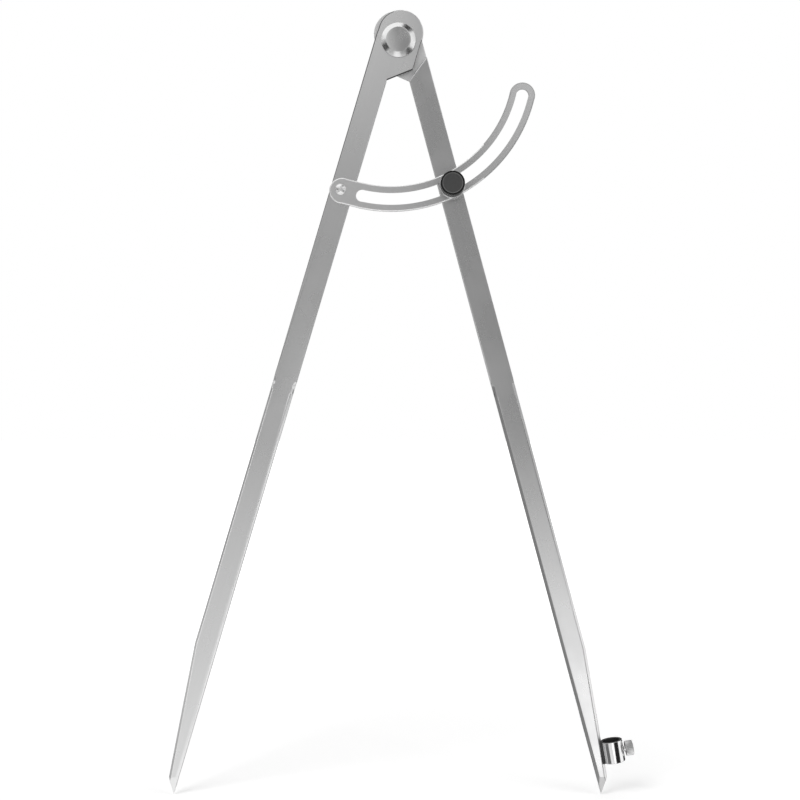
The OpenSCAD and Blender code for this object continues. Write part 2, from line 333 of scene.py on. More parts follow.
def addNode(tree, kind, values=None, **inputs):
    node = tree.nodes.new("ShaderNode" + kind)
    for key, value in (values or {}).items():
        setattr(node, key, value)
    for key, value in inputs.items():
        numbered = key[0] == "i" and key[1:].isdigit()  # i0, i1 and so on
        feed(tree, node.inputs[int(key[1:]) if numbered else key], value)
    return node


def mathNode(tree, operation, a, b=0.0, clamp=False):
    return addNode(tree, "Math", {"operation": operation, "use_clamp": clamp}, i0=a, i1=b).outputs[0]


def makeGrainGroup():
    # long fine lines that run along the vector's Z, from a belt or a brush
    group, given, result = newGroup(
        "brushedGrain",
        [("Vector", "NodeSocketVector", None), ("Lines", "NodeSocketFloat", 3000.0),
         ("Stretch", "NodeSocketFloat", 60.0)],
        [("Height", "NodeSocketFloat"), ("Streak", "NodeSocketFloat")],
    )
    long = mathNode(group, "DIVIDE", given.outputs["Lines"], given.outputs["Stretch"])
    scale = addNode(group, "CombineXYZ", X=given.outputs["Lines"], Y=given.outputs["Lines"], Z=long)
    fine = addNode(group, "VectorMath", {"operation": "MULTIPLY"},
                   i0=given.outputs["Vector"], i1=scale.outputs[0])
    lines = addNode(group, "TexNoise", Vector=fine.outputs[0], Scale=1.0, Detail=3.0, Roughness=0.6)
    wide = addNode(group, "VectorMath", {"operation": "SCALE"}, i0=fine.outputs[0], Scale=0.11)
    bands = addNode(group, "TexNoise", Vector=wide.outputs[0], Scale=1.0, Detail=2.0)
    group.links.new(lines.outputs[0], result.inputs["Height"])
    group.links.new(bands.outputs[0], result.inputs["Streak"])
    return group


def makeTurnedGroup():
    # fine rings round the vector's Y axis, as a lathe tool leaves them
    group, given, result = newGroup(
        "turnedRings",
        [("Vector", "NodeSocketVector", None), ("Rings", "NodeSocketFloat", 4000.0)],
        [("Height", "NodeSocketFloat"), ("Streak", "NodeSocketFloat")],
    )
    flat = addNode(group, "VectorMath", {"operation": "MULTIPLY"},
                   i0=given.outputs["Vector"], i1=(1.0, 0.0, 1.0))
    radius = addNode(group, "VectorMath", {"operation": "LENGTH"}, i0=flat.outputs[0])
    ring = mathNode(group, "MULTIPLY", radius.outputs["Value"], given.outputs["Rings"])
    lines = addNode(group, "TexNoise", {"noise_dimensions": "1D"}, W=ring, Scale=1.0, Detail=2.0)
    slow = mathNode(group, "MULTIPLY", ring, 0.13)
    bands = addNode(group, "TexNoise", {"noise_dimensions": "1D"}, W=slow, Scale=1.0, Detail=1.0)
    group.links.new(lines.outputs[0], result.inputs["Height"])
    group.links.new(bands.outputs[0], result.inputs["Streak"])
    return group


def makeHandlingGroup():
    # smudges from handling, and a few hair scratches
    group, given, result = newGroup(
        "handling",
        [("Vector", "NodeSocketVector", None), ("Size", "NodeSocketFloat", 60.0),
         ("Scratches", "NodeSocketFloat", 420.0)],
        [("Smudge", "NodeSocketFloat"), ("Scratch", "NodeSocketFloat")],
    )
    cloud = addNode(group, "TexNoise", Vector=given.outputs["Vector"], Scale=given.outputs["Size"],
                    Detail=4.0, Roughness=0.55)
    smudge = addNode(group, "MapRange", {"interpolation_type": "SMOOTHSTEP"},
                     Value=cloud.outputs[0], i1=0.42, i2=0.68)
    warp = addNode(group, "TexNoise", Vector=given.outputs["Vector"], Scale=25.0, Detail=0.0)
    bent = addNode(group, "VectorMath", {"operation": "MULTIPLY_ADD"},
                   i0=warp.outputs["Color"], i1=(0.004, 0.004, 0.004), i2=given.outputs["Vector"])
    hairs = addNode(group, "TexVoronoi", {"feature": "DISTANCE_TO_EDGE"},
                    Vector=bent.outputs[0], Scale=given.outputs["Scratches"])
    thin = addNode(group, "MapRange", Value=hairs.outputs[0], i1=0.0, i2=0.025, i3=1.0, i4=0.0)
    sparse = addNode(group, "TexNoise", Vector=given.outputs["Vector"], Scale=140.0, Detail=1.0)
    few = addNode(group, "MapRange", Value=sparse.outputs[0], i1=0.56, i2=0.66)
    scratch = mathNode(group, "MULTIPLY", thin.outputs[0], few.outputs[0])
    group.links.new(smudge.outputs[0], result.inputs["Smudge"])
    group.links.new(scratch, result.inputs["Scratch"])
    return group


def makeWearGroup():
    # rubbed edges: where the rounded normal leaves the true one, broken up by noise
    group, given, result = newGroup(
        "rubbedEdges",
        [("Vector", "NodeSocketVector", None), ("Reach", "NodeSocketFloat", 0.0003),
         ("Patches", "NodeSocketFloat", 300.0)],
        [("Edge", "NodeSocketFloat")],
    )
    rounded = addNode(group, "Bevel", {"samples": 4}, Radius=given.outputs["Reach"])
    true = addNode(group, "NewGeometry")
    same = addNode(group, "VectorMath", {"operation": "DOT_PRODUCT"},
                   i0=rounded.outputs[0], i1=true.outputs["Normal"])
    edge = addNode(group, "MapRange", Value=same.outputs["Value"], i1=0.995, i2=0.88)
    patches = addNode(group, "TexNoise", Vector=given.outputs["Vector"],
                      Scale=given.outputs["Patches"], Detail=3.0)
    rub = addNode(group, "MapRange", Value=patches.outputs[0], i1=0.3, i2=0.6)
    mask = mathNode(group, "MULTIPLY", edge.outputs[0], rub.outputs[0], clamp=True)
    group.links.new(mask, result.inputs["Edge"])
    return group


grainGroup = makeGrainGroup()
turnedGroup = makeTurnedGroup()
handlingGroup = makeHandlingGroup()
wearGroup = makeWearGroup()


def placeGroup(tree, group, **inputs):
    node = tree.nodes.new("ShaderNodeGroup")
    node.node_tree = group
    for key, value in inputs.items():
        feed(tree, node.inputs[key], value)
    return node.outputs


def mixColour(tree, factor, a, b):
    node = addNode(tree, "Mix", {"data_type": "RGBA"}, Factor=factor)
    for socket, value in ((node.inputs[6], a), (node.inputs[7], b)):
        feed(tree, socket, (*value, 1) if isinstance(value, tuple) else value)
    return node.outputs[2]


def grey(level):
    return (level, level, level)


def newMaterial(name):
    material = bpy.data.materials.new(name)
    material.use_nodes = True
    tree = material.node_tree
    return material, tree, tree.nodes["Principled BSDF"]


def stageMaterial(name):
    # without a shader, for the floor and the cards
    material, tree = newMaterial(name)[:2]
    tree.nodes.clear()
    return material, tree


markLook = {
    "scratchTint": 0.35,  # how far a scratch shows in the colour
    "lineDull": 0.3,  # how far the grain changes the roughness
    "relief": 0.02,  # depth of grain and scratches, mm
    "faceOn": (-0.93, -0.99),  # Y of the normal between which a side turns into a front
}


def metal(name, finish):
    # bare or plated metal: grain or lathe rings, smudges, hair scratches and rubbed edges
    material, tree, shader = newMaterial(name)
    shader.inputs["Metallic"].default_value = finish.get("metallic", 1.0)
    where = addNode(tree, "TexCoord").outputs["Object"]
    turn = addNode(tree, "Mapping", Vector=where, Location=finish.get("centre", (0, 0, 0)),
                   Rotation=(0, math.radians(finish.get("lean", 0)), 0)).outputs[0]
    if "rings" in finish:
        lines = placeGroup(tree, turnedGroup, Vector=turn, Rings=finish["rings"])
    else:
        lines = placeGroup(tree, grainGroup, Vector=turn, Lines=finish["lines"], Stretch=finish["stretch"])
    marks = placeGroup(tree, handlingGroup, Vector=where, Size=finish["smudges"])
    worn = placeGroup(tree, wearGroup, Vector=where, Reach=finish["edge"] * mm)["Edge"]
    light, dark, bare = finish["light"], finish["dark"], finish["bare"]
    streak = lines["Streak"]
    if "patchy" in finish:
        low, high = 0.5 - finish["patchy"], 0.5 + finish["patchy"]
        streak = addNode(tree, "MapRange", Value=streak, i1=low, i2=high).outputs[0]
    streaked = mixColour(tree, streak, dark, light)
    tint = mathNode(tree, "MULTIPLY", marks["Scratch"], markLook["scratchTint"])
    scratched = mixColour(tree, tint, streaked, dark)
    tree.links.new(mixColour(tree, worn, scratched, bare), shader.inputs["Base Color"])
    smooth, rough = finish["rough"]
    dull = mathNode(tree, "MULTIPLY_ADD", marks["Smudge"], rough - smooth)
    dull.node.inputs[2].default_value = smooth
    lined = mathNode(tree, "MULTIPLY_ADD", lines["Height"], markLook["lineDull"] * (rough - smooth))
    tree.links.new(dull, lined.node.inputs[2])
    tree.links.new(lined, shader.inputs["Roughness"])
    height = mathNode(tree, "SUBTRACT", lines["Height"], marks["Scratch"])
    normal = addNode(tree, "Bump", Strength=finish["bump"], Distance=markLook["relief"] * mm,
                     Height=height).outputs[0]
    if "lookAside" in finish:
        # the front face's shading normal is tilted to one side, as a leg set a little out of flat would look
        true = addNode(tree, "NewGeometry").outputs["Normal"]
        facing = addNode(tree, "SeparateXYZ", Vector=true).outputs["Y"]
        side, full = markLook["faceOn"]
        amount = addNode(tree, "MapRange", Value=facing, i1=side, i2=full).outputs[0]
        aside = addNode(tree, "VectorMath", {"operation": "SCALE"},
                        i0=(finish["lookAside"], 0, 0), Scale=amount).outputs[0]
        added = addNode(tree, "VectorMath", {"operation": "ADD"}, i0=normal, i1=aside).outputs[0]
        normal = addNode(tree, "VectorMath", {"operation": "NORMALIZE"}, i0=added).outputs[0]
    tree.links.new(normal, shader.inputs["Normal"])
    return material


def knobPlastic(name, finish):
    # moulded black plastic: fine spark texture, smudges, and edges rubbed paler
    material, tree, shader = newMaterial(name)
    where = addNode(tree, "TexCoord").outputs["Object"]
    spark = addNode(tree, "TexNoise", Vector=where, Scale=finish["spark"], Detail=2.0)
    marks = placeGroup(tree, handlingGroup, Vector=where, Size=finish["smudges"])
    worn = placeGroup(tree, wearGroup, Vector=where, Reach=finish["edge"] * mm, Patches=700.0)["Edge"]
    mottled = mixColour(tree, spark.outputs[0], finish["dark"], finish["light"])
    tree.links.new(mixColour(tree, worn, mottled, finish["wornAndStepHighlight"]), shader.inputs["Base Color"])
    shader.inputs["Specular IOR Level"].default_value = finish["shine"]
    smooth, rough = finish["rough"]
    dull = mathNode(tree, "MULTIPLY_ADD", marks["Smudge"], rough - smooth)
    dull.node.inputs[2].default_value = smooth
    tree.links.new(dull, shader.inputs["Roughness"])
    height = mathNode(tree, "SUBTRACT", spark.outputs[0], marks["Scratch"])
    bump = addNode(tree, "Bump", Strength=finish["bump"], Distance=markLook["relief"] * mm, Height=height)
    tree.links.new(bump.outputs[0], shader.inputs["Normal"])
    return material


legLean = {"left": -16.6, "right": 15.04}  # turn of each leg from upright, degrees

legFinish = {
    "light": grey(0.87), "dark": grey(0.83), "bare": grey(0.92), "rough": (0.26, 0.32),
    "lines": 5200.0, "stretch": 90.0, "smudges": 45.0, "edge": 0.35, "bump": 0.12,
}
polished = {
    "light": grey(0.92), "dark": grey(0.84), "bare": grey(0.96), "rough": (0.15, 0.22),
    "rings": 6000.0, "smudges": 160.0, "edge": 0.2, "bump": 0.10,
}


def toned(finish, light, dark, bare, **more):
    # the same finish in other greys, with whatever else differs
    return {**finish, "light": grey(light), "dark": grey(dark), "bare": grey(bare), **more}


leftNickel = metal("legNickelLeft", {**legFinish, "lean": legLean["left"], "lookAside": -0.12})
rightNickel = metal("legNickelRight", {**legFinish, "lean": legLean["right"]})
arcNickel = metal("arcNickel", toned(
    legFinish, 0.88, 0.84, 0.92, lines=3800.0, stretch=3.0, rough=(0.28, 0.36), metallic=0.95))
# painted highlight on the arc's rounded rim, and painted shade on the rim's far part
arcRimHighlight = metal("arcRimHighlight", toned(legFinish, 0.95, 0.92, 0.97, metallic=0.6))
arcFarRimShade = metal("arcFarRimShade", toned(legFinish, 0.45, 0.40, 0.50, rough=(0.5, 0.6), metallic=0.5))


def ringMarks(node):
    # moves the lathe rings to the middle of the piece
    centre = facingFront(node)[0]
    return (-centre.x, 0, -centre.z)


print("finishes made")


# the legs and the arc: eased copies of the solids

legEase = {
    "merge": 0.25, "segments": 3,
    "edge": 0.30, "shoulder": 0.80, "outline": 0.55,  # widths of the rounding
    "strip": 0.42,  # a rounded edge's faces are narrower than this
    "frontFrom": -2.4, "lapDepth": 0.3,  # where the front face and the floor of the lap lie in depth
    "innerEdge": -0.5, "boreReach": 8.0,  # mm from the pivot's axis
    "lobeTop": 3.0, "headAbove": -19.0, "wallAbove": -32.0,  # heights on the lobe, the head and its stop
    "shoulderSpan": (-40.0, -14.0), "shoulderLength": 5.0,
    "runout": (-185.0, -176.5), "runoutMargin": (2.0, 3.0),  # where the bevels end, and the faces near it
    "runoutOff": 9.0, "runoutArea": 8.0,
    "darkClear": 5.0,  # the dark edge ends this far above the run-out
    "pointBelow": -382.8,
}
lapSteel = metal("lapSteel", toned(
    legFinish, 0.78, 0.72, 0.82, rough=(0.36, 0.44), lines=2400.0, bump=0.3, metallic=0.6))
# painted highlight: a pale, less metallic grey for the right leg's rounded shoulder
shoulderHighlightSteel = metal("shoulderHighlightSteel", toned(legFinish, 0.92, 0.88, 0.95, metallic=0.3))
# painted shade: a dull mid grey for the small faces at the outer run-out, matched to the neighbouring edges
runoutShadeSteel = metal("runoutShadeSteel", toned(legFinish, 0.36, 0.33, 0.40, rough=(0.6, 0.7), metallic=0.2))
# painted shade: a darker grey for the right leg's inner bevel towards the point
innerBevelShadeSteel = metal("innerBevelShadeSteel", toned(legFinish, 0.45, 0.40, 0.50, lean=legLean["right"]))
# painted shade: dark grey for the left leg's rounded outline strips
edgeShadeSteel = metal("edgeShadeSteel", toned(legFinish, 0.20, 0.15, 0.26))
pointSteel = metal("pointSteel", toned(legFinish, 0.62, 0.56, 0.92, lean=legLean["right"]))
# painted shadow: near black for the front lobe's stop wall, where the gap to the other leg lies in shade
stopShadowSteel = metal("stopShadowSteel", toned(legFinish, 0.05, 0.03, 0.12, rough=(0.45, 0.6)))


def hung(vector, side):
    # a place or direction as it is when the leg hangs straight down
    turn = math.radians(legLean[side])
    return Vector((vector.x * math.cos(turn) + vector.z * math.sin(turn), vector.y,
                   vector.z * math.cos(turn) - vector.x * math.sin(turn)))


def splitAcross(leg, side, height):
    turn = math.radians(legLean[side])
    along = Vector((-math.sin(turn), 0, math.cos(turn)))
    editAll(leg)
    bpy.ops.mesh.bisect(plane_co=along * height * mm, plane_no=along)
    bpy.ops.object.mode_set(mode="OBJECT")


def roundEdges(leg, side, e):
    # all edges are eased, the lobe's outline and the shoulder further, the ends of the bevels not at all
    def onOutline(point):
        at = hung(point, side) / mm
        inner = at.x > e["innerEdge"] and at.z < e["headAbove"]
        return at.y < e["frontFrom"] and math.hypot(at.x, at.z) > e["boreReach"] and not inner

    def atRunout(point):
        low, high = e["runout"]
        return low - touch < hung(point, side).z / mm < high + touch

    def onShoulder(a, b):
        inFront = max(a.y, b.y) < e["frontFrom"] * mm and min(a.z, b.z) > e["wallAbove"] * mm
        edge = a - b
        return inFront and abs(edge.normalized().x) > 0.4 and edge.length > e["shoulderLength"] * mm

    for height in e["runout"]:
        splitAcross(leg, side, height)
    weighEdges(leg, e["edge"])
    if side == "left":
        weighEdges(leg, e["outline"] - e["edge"], lambda a, b: onOutline(a) and onOutline(b))
    else:
        weighEdges(leg, e["shoulder"] - e["edge"], onShoulder)
    weighEdges(leg, -1, lambda a, b: atRunout(a) and atRunout(b))
    roundByWeight(leg, e["segments"])


def isStrip(leg, face, e):
    # a narrow face of a rounded front edge
    points = leg.data.vertices
    short = min((points[a].co - points[b].co).length for a, b in face.edge_keys)
    return 0.1 < -face.normal.y < 0.99 and short < e["strip"] * mm


def darkenLobe(leg, e):
    # painted shade: the rounded edges to the left and on the lobe's right side are painted dark, and the stop is
    # painted near black as a painted shadow
    def strip(face):
        return isStrip(leg, face, e)

    def dark(face):
        at, way = hung(face.center, "left") / mm, hung(face.normal, "left")
        outer = way.x < -0.15 and at.z > e["runout"][1] + e["darkClear"]
        return strip(face) and (outer or (way.x > 0.3 and e["headAbove"] < at.z < e["lobeTop"]))

    def stop(face):
        way = hung(face.normal, "left")
        inHead = face.center.z > e["wallAbove"] * mm
        return inHead and way.z < -0.5 and (abs(face.normal.y) < 0.1 or strip(face))

    finishFaces(leg, edgeShadeSteel, dark)
    finishFaces(leg, stopShadowSteel, stop)


def finishRight(leg, e):
    # painted highlight on the shoulder, painted shade on the inner bevel, and the ground point
    def shoulder(face):
        low, high = e["shoulderSpan"]
        return isStrip(leg, face, e) and face.normal.z > 0.1 and low * mm < face.center.z < high * mm

    def bevel(face):
        way = hung(face.normal, "right")
        return way.x < -0.3 and way.y < -0.3 and hung(face.center, "right").z < e["runout"][1] * mm

    def point(face):
        return abs(face.normal.y) > 0.8 and hung(face.center, "right").z < e["pointBelow"] * mm

    finishFaces(leg, shoulderHighlightSteel, shoulder)
    finishFaces(leg, innerBevelShadeSteel, bevel)
    finishFaces(leg, pointSteel, point)


def makeLeg(side, material, e):
    def atOuterRunout(face):
        low, high = e["runout"]
        below, above = e["runoutMargin"]
        at = hung(face.center, side) / mm
        near = abs(at.x) > e["runoutOff"] and low - below < at.z < high + above
        return near and face.area < e["runoutArea"] * mm * mm

    node = side + "_leg"
    leg = nodeCopy(node, side + "Leg", e["merge"])
    roundEdges(leg, side, e)
    keepFlatsFlat(leg)
    dress(leg, material, node, node)
    finishFaces(leg, lapSteel, lambda f: abs(f.normal.y) > 0.9 and abs(f.center.y) < e["lapDepth"] * mm)
    if side == "left":
        darkenLobe(leg, e)
    else:
        finishRight(leg, e)
    # painted shade on the small faces at the outer run-out
    finishFaces(leg, runoutShadeSteel, atOuterRunout)


makeLeg("left", leftNickel, legEase)
makeLeg("right", rightNickel, legEase)

arcEase = {
    "rim": 0.6, "rimSegments": 3, "edge": 0.12, "segments": 2, "frontSkin": 0.05,
    "brightTo": 42.0,  # the rim has a painted highlight on this side and painted shade beyond it
    "centre": (-3.57, 0.0, -12.51), "radius": 67.15, "slot": (-12.54, 76.66),  # slot's ends in degrees
    "slotReach": 4.5, "holeReach": 2.2,
}


def offSlot(point, e):
    # distance in mm from the slot's middle line, which runs between two angles from straight down
    arm = Vector((point.x, 0, point.z)) / mm - Vector(e["centre"])
    turn = math.degrees(math.atan2(arm.x, -arm.z))
    turn = math.radians(min(max(turn, e["slot"][0]), e["slot"][1]))
    return (arm - Vector((math.sin(turn), 0, -math.cos(turn))) * e["radius"]).length


def makeArc(e):
    # the band's front rim is rounded over, the slot's edges are only broken
    arc = nodeCopy("quadrant_arc", "slottedArc")
    hole = facingFront("arc_rivet")[0]
    frontPlane = min(v.co.y for v in arc.data.vertices)

    def onRim(point):
        return (point.y < frontPlane + e["frontSkin"] * mm and offSlot(point, e) > e["slotReach"]
                and math.hypot(point.x - hole.x, point.z - hole.z) > e["holeReach"] * mm)

    def onRound(face):
        return 0.05 < -face.normal.y < 0.97 and offSlot(face.center, e) > e["slotReach"]

    selectEdges(arc, lambda a, b: onRim(a) and onRim(b))
    bpy.ops.mesh.bevel(offset=e["rim"] * mm, segments=e["rimSegments"], affect="EDGES")
    bpy.ops.object.mode_set(mode="OBJECT")
    easeEdges(arc, e["edge"], e["segments"], sharper=40)
    keepFlatsFlat(arc)
    dress(arc, arcNickel, "quadrant_arc", "quadrant_arc")
    # painted highlight on the near part of the rounded rim, painted shade on the far part
    finishFaces(arc, arcRimHighlight, lambda f: onRound(f) and f.center.x < e["brightTo"] * mm)
    finishFaces(arc, arcFarRimShade, lambda f: onRound(f) and f.center.x >= e["brightTo"] * mm)


makeArc(arcEase)
print("legs and arc made")


# rivets, stud and washers, turned round their own axes

pivotRivet = {
    "shank": 4.0, "head": 8.7, "flat": 6.15, "face": 2.5, "rise": 2.4, "rim": 0.4,
    "crown": 0.16, "crownSteps": 6, "tail": 6.0, "tailFrom": -3.6, "tailRise": 1.6, "tailWall": 0.4,
    "dimple": 1.2, "dimpleFloor": 0.9, "dimpleDepth": 0.35, "ease": 0.22, "rimSkin": 0.15,
}


def makePivotRivet(r):
    top, tailEnd = r["face"] + r["rise"], r["tailFrom"] - r["tailRise"]
    steps = [i / r["crownSteps"] for i in range(r["crownSteps"] + 1)]
    corners = [(r["flat"] * t, top - r["crown"] * t * t) for t in steps] + [
        (r["head"], r["face"] + r["rim"]), (r["head"], r["face"]), (r["shank"], r["face"]),
        (r["shank"], r["tailFrom"]), (r["tail"], r["tailFrom"]), (r["tail"], r["tailFrom"] - r["tailWall"]),
        (r["tail"] - r["tailRise"], tailEnd), (r["dimple"], tailEnd),
        (r["dimpleFloor"], tailEnd + r["dimpleDepth"]), (0, tailEnd + r["dimpleDepth"]),
    ]
    rivet = turnedPiece("pivotRivet", corners, facingFront("pivot_rivet"), r["ease"], steps=160)
    finish = metal("pivotPolish", {**polished, "rough": (0.23, 0.28), "centre": ringMarks("pivot_rivet")})
    dress(rivet, finish, "left_leg", "pivot_rivet")
    # painted shade: the rim wall of the head is painted dark, standing in for the contact shadow round it
    rim = metal("pivotRimShade", toned(polished, 0.16, 0.10, 0.96, centre=ringMarks("pivot_rivet")))
    finishFaces(rivet, rim, lambda f: abs(f.normal.y) < 0.55
                and math.hypot(f.center.x, f.center.z) > (r["head"] - r["rimSkin"]) * mm)


makePivotRivet(pivotRivet)

pivotWasher = {"bore": 4.02, "outer": 7.5, "near": -2.6, "far": -3.6, "ease": 0.18}
lockWasher = {"bore": 1.85, "outer": 6.4, "near": 4.7, "far": 5.7, "ease": 0.2}


def makeWasher(name, w, node, body):
    corners = [(w["bore"], w["near"]), (w["outer"], w["near"]), (w["outer"], w["far"]), (w["bore"], w["far"])]
    washer = turnedPiece(name, corners, facingFront(node), w["ease"], closed=True)
    finish = metal(name + "Finish", {**polished, "rough": (0.16, 0.26), "centre": ringMarks(node)})
    dress(washer, finish, body, node)


makeWasher("pivotWasher", pivotWasher, "pivot_washer", "left_leg")
makeWasher("lockWasher", lockWasher, "lock_washer", "lock_washer")

arcRivet = {
    "shank": 1.6, "foot": 2.825, "back": -2.5, "seat": 4.7, "head": 2.825, "rise": 1.7, "domeSteps": 10,
    "ease": 0.1,
}


def makeArcRivet(r):
    # a round dome over the arc, countersunk flush in the back of the leg
    sphere = (r["head"] ** 2 + r["rise"] ** 2) / (2 * r["rise"])
    sweep = math.asin(r["head"] / sphere)
    dome = []
    for i in range(r["domeSteps"]):
        angle = sweep * i / r["domeSteps"]
        dome.append((sphere * math.sin(angle), r["seat"] + r["rise"] - sphere * (1 - math.cos(angle))))
    corners = dome + [
        (r["head"], r["seat"]), (r["shank"], r["seat"]),
        (r["shank"], r["back"] + r["foot"] - r["shank"]), (r["foot"], r["back"]), (0, r["back"]),
    ]
    rivet = turnedPiece("arcRivet", corners, facingFront("arc_rivet"), r["ease"], steps=72)
    finish = metal("arcRivetPolish", toned(
        polished, 0.95, 0.90, 0.96, rough=(0.26, 0.32), metallic=0.8, centre=ringMarks("arc_rivet")))
    dress(rivet, finish, "left_leg", "arc_rivet")


makeArcRivet(arcRivet)

lockStud = {
    "shank": 1.8, "chamfer": 0.3, "head": 3.05, "back": -2.5, "top": 8.8, "dimple": 0.9, "dimpleDepth": 0.3,
    "ease": 0.12,
    "thread": {"from": 4.4, "to": 8.6, "pitch": 0.7, "rings": 80, "core": 1.6, "depth": 0.32},
}


def makeLockStud(s):
    place = facingFront("lock_stud")
    corners = [
        (0, s["top"]), (s["shank"] - s["chamfer"], s["top"]), (s["shank"], s["top"] - s["chamfer"]),
        (s["shank"], s["back"] + s["head"] - s["shank"]), (s["head"], s["back"]),
        (s["dimple"], s["back"]), (0, s["back"] + s["dimpleDepth"]),
    ]
    stud = turnedPiece("lockStud", corners, place, s["ease"], steps=48)
    cutThread(stud, place, s["thread"])
    smoothByAngle(stud)
    finish = metal("studSteel", {**polished, "rough": (0.2, 0.3), "centre": ringMarks("lock_stud")})
    dress(stud, finish, "right_leg", "lock_stud")


makeLockStud(lockStud)
print("rivets, stud and washers made")


# the lock knob

lockKnob = {
    "diameter": 12.1, "height": 7.0, "grooves": 36, "rim": 0.45, "foot": 0.35, "land": 0.08, "groove": 0.2,
    "bore": 5.74, "boreDepth": 4.0, "lift": 5.8, "ease": 0.07,
    "top": [(0.55, 0.0), (0.35, -0.28), (0.3, -0.05), (2.2, 0.0)],  # raised rim, then a shallow dish
    "dish": 4.7, "step": 5.1, "topDepth": 1.0,  # how far out and down the finishes of the top go
}


def makeLockKnob(k):
    knob = groovedGrip("lockKnob", k)
    shapeTop(knob, k["top"])
    setInPlace(knob, facingFront("lock_knob"), k["lift"])
    easeEdges(knob, k["ease"], segments=1, sharper=35)
    smoothByAngle(knob, 40)
    gloss = {
        "dark": grey(0.006), "light": grey(0.011), "wornAndStepHighlight": grey(0.03), "rough": (0.22, 0.34), "shine": 0.3,
        "spark": 5200.0, "smudges": 220.0, "edge": 0.2, "bump": 0.1,
    }
    dress(knob, knobPlastic("knobBlack", gloss), "lock_knob", "lock_knob")
    satin = knobPlastic("knobFace", {
        **gloss, "dark": grey(0.040), "light": grey(0.065), "rough": (0.45, 0.6), "bump": 0.3,
    })
    # painted highlight: the step round the dish is painted paler
    wornAndStepHighlight = knobPlastic("knobStepHighlight", {**gloss, "dark": grey(0.09), "light": grey(0.13), "rough": (0.4, 0.5)})
    centre = facingFront("lock_knob")[0]

    def onTop(face, reach):
        off = math.hypot(face.center.x - centre.x, face.center.z - centre.z)
        top = k["lift"] + k["height"] - k["topDepth"]
        return face.normal.y < -0.5 and off < reach * mm and face.center.y < -top * mm

    finishFaces(knob, wornAndStepHighlight, lambda f: onTop(f, k["step"]) and f.normal.y > -0.95)
    finishFaces(knob, satin, lambda f: onTop(f, k["dish"]))


makeLockKnob(lockKnob)

insertBrass = metal("insertBrass", {
    "light": (0.83, 0.62, 0.27), "dark": (0.70, 0.50, 0.20), "bare": (0.9, 0.72, 0.38), "rough": (0.2, 0.34),
    "rings": 5000.0, "smudges": 200.0, "edge": 0.15, "bump": 0.1, "centre": ringMarks("knob_insert"),
})
insertSlots = frame["nodes"]["knob_insert"].data.materials
insertSlots.clear()
insertSlots.append(insertBrass)
print("lock knob made")


# the pencil ring with its braze and thumb screw

clamp = next(m for m in frame["record"]["mounts"] if m["name"] == "pencil_clamp")
ringCentre = Vector(clamp["pos_m"])
ringUp = Vector(clamp["axis"]).normalized()
ringOut = ringUp.cross(front)
ringLean = math.degrees(math.atan2(ringUp.x, ringUp.z))

pencilRing = {"bore": 4.175, "outer": 5.5, "height": 10.8, "hole": 1.55, "ease": 0.28}


def makePencilRing(r):
    half = r["height"] / 2
    corners = [(r["bore"], -half), (r["outer"], -half), (r["outer"], half), (r["bore"], half)]
    place = (ringCentre, ringUp, ringOut)
    ring = turnedPiece("pencilRing", corners, place, r["ease"], closed=True, steps=128)
    deselectAll()
    bpy.ops.mesh.primitive_cylinder_add(vertices=40, radius=r["hole"] * mm, depth=r["outer"] * mm)
    drill = bpy.context.object
    setInPlace(drill, (ringCentre, ringOut, ringUp), r["outer"])
    applyModifier(ring, "BOOLEAN", object=drill, operation="DIFFERENCE", solver="EXACT")
    bpy.data.objects.remove(drill)
    smoothByAngle(ring, 40)
    chrome = metal("ringChrome", {
        "light": grey(0.93), "dark": grey(0.88), "bare": grey(0.95), "rough": (0.06, 0.12), "lean": -ringLean,
        "lines": 2600.0, "stretch": 0.2, "smudges": 180.0, "edge": 0.2, "bump": 0.03,
    })
    dress(ring, chrome, "right_leg", "pencil_ring")
    # painted shade: near black for the bore, and the same near black on the sawn ends of the ring
    bare = metal("ringBoreShade", toned(legFinish, 0.12, 0.06, 0.18, rough=(0.4, 0.55), lean=-ringLean))

    def boreAndEnds(face):
        # the bore, painted near black as painted shade, and the sawn ends, painted near black too
        arm = face.center - ringCentre
        spoke = (arm - ringUp * arm.dot(ringUp)).normalized()
        return face.normal.dot(spoke) < -0.3 or abs(face.normal.dot(ringUp)) > 0.3

    finishFaces(ring, bare, boreAndEnds)


makePencilRing(pencilRing)

braze = {"voxel": 0.11, "smooth": 0.5, "smoothPasses": 4, "ripple": 0.10, "rippleSize": 0.9, "sink": 0.6}


def makeBraze(b):
    # two fillets of silver solder, run and set a little unevenly
    fillets = nodeCopy("ring_braze", "ringBraze")
    applyModifier(fillets, "REMESH", mode="VOXEL", voxel_size=b["voxel"] * mm)
    applyModifier(fillets, "SMOOTH", factor=b["smooth"], iterations=b["smoothPasses"])
    ripple = bpy.data.textures.new("solderRipple", "CLOUDS")
    ripple.noise_scale = b["rippleSize"] * mm
    applyModifier(fillets, "DISPLACE", texture=ripple, texture_coords="GLOBAL",
                  strength=b["ripple"] * mm, mid_level=b["sink"])
    smoothByAngle(fillets, 60)
    solder = metal("silverSolder", {
        "light": grey(0.10), "dark": grey(0.05), "bare": grey(0.2), "rough": (0.34, 0.5),
        "lines": 1800.0, "stretch": 1.0, "smudges": 400.0, "edge": 0.15, "bump": 0.3,
    })
    dress(fillets, solder, "right_leg", "ring_braze")


makeBraze(braze)

thumbScrew = {
    "shank": 1.5, "chamfer": 0.3, "tip": 4.275, "end": 9.0, "ease": 0.12,
    "thread": {"from": 4.4, "to": 6.9, "pitch": 0.5, "rings": 56, "core": 1.35, "depth": 0.26},
}


